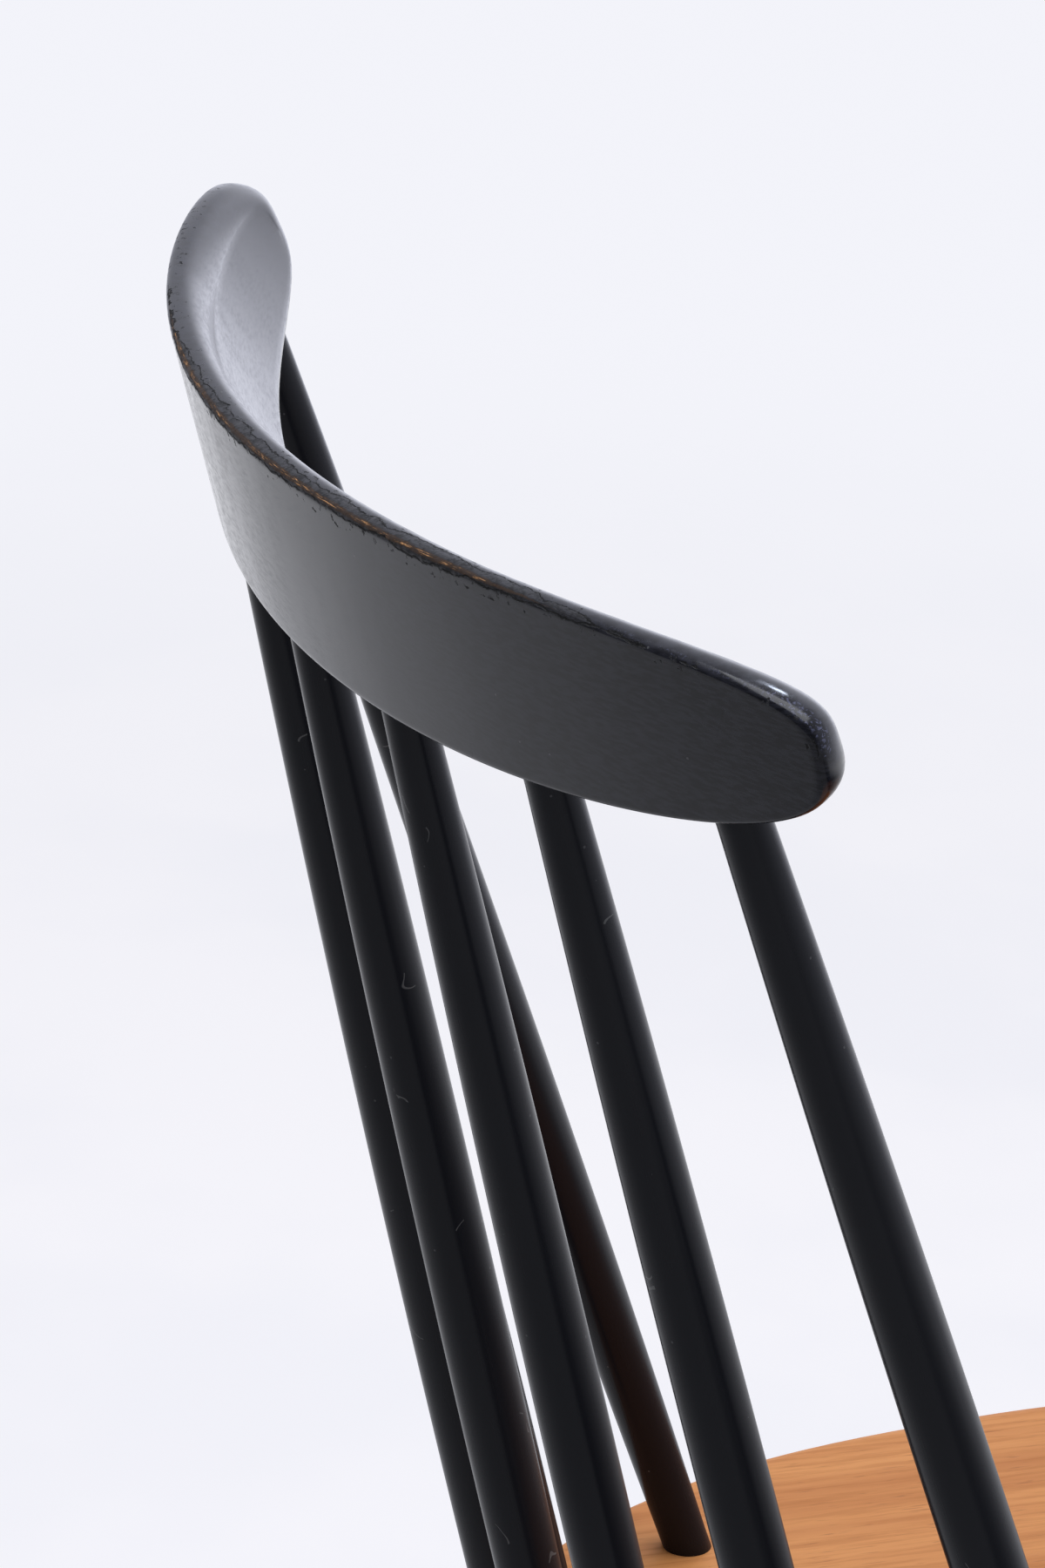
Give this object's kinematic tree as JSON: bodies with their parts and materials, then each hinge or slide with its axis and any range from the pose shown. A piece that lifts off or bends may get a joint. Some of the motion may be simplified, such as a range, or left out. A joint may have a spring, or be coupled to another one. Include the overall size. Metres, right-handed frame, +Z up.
{
  "type": "spindle-back wooden chair",
  "caption": "Side chair with a bent, worn black crest rail on turned spindles, a plain warm wood seat, splayed turned legs and an H of stretchers.",
  "frame": {"origin": "middle of the chair's footprint, on the floor", "axes": "+Z up; the sitter faces -Y; +X is on the sitter's left"},
  "size_m": [0.4442, 0.5064, 0.8253],
  "materials": {
    "seat_wood": "satin oiled wood with fine straight grain",
    "worn_lacquer": "satin black paint, worn through to bare wood along the upper edge, with flaked borders, nicks and fine scratches",
    "spindle_lacquer": "satin black paint with hair-fine scratches, dust and small chips",
    "leg_lacquer": "satin black paint, rubbed at the feet"
  },
  "bodies": {
    "root": {"seat": "seat_wood", "crest_rail": "worn_lacquer", "spindle_1": "spindle_lacquer", "spindle_2": "spindle_lacquer", "spindle_3": "spindle_lacquer", "spindle_4": "spindle_lacquer", "spindle_5": "spindle_lacquer", "spindle_6": "spindle_lacquer", "spindle_7": "spindle_lacquer", "leg_front_left": "leg_lacquer", "leg_front_right": "leg_lacquer", "leg_rear_left": "leg_lacquer", "leg_rear_right": "leg_lacquer", "side_stretcher_left": "leg_lacquer", "side_stretcher_right": "leg_lacquer", "cross_stretcher": "leg_lacquer"}
  },
  "joints": []
}
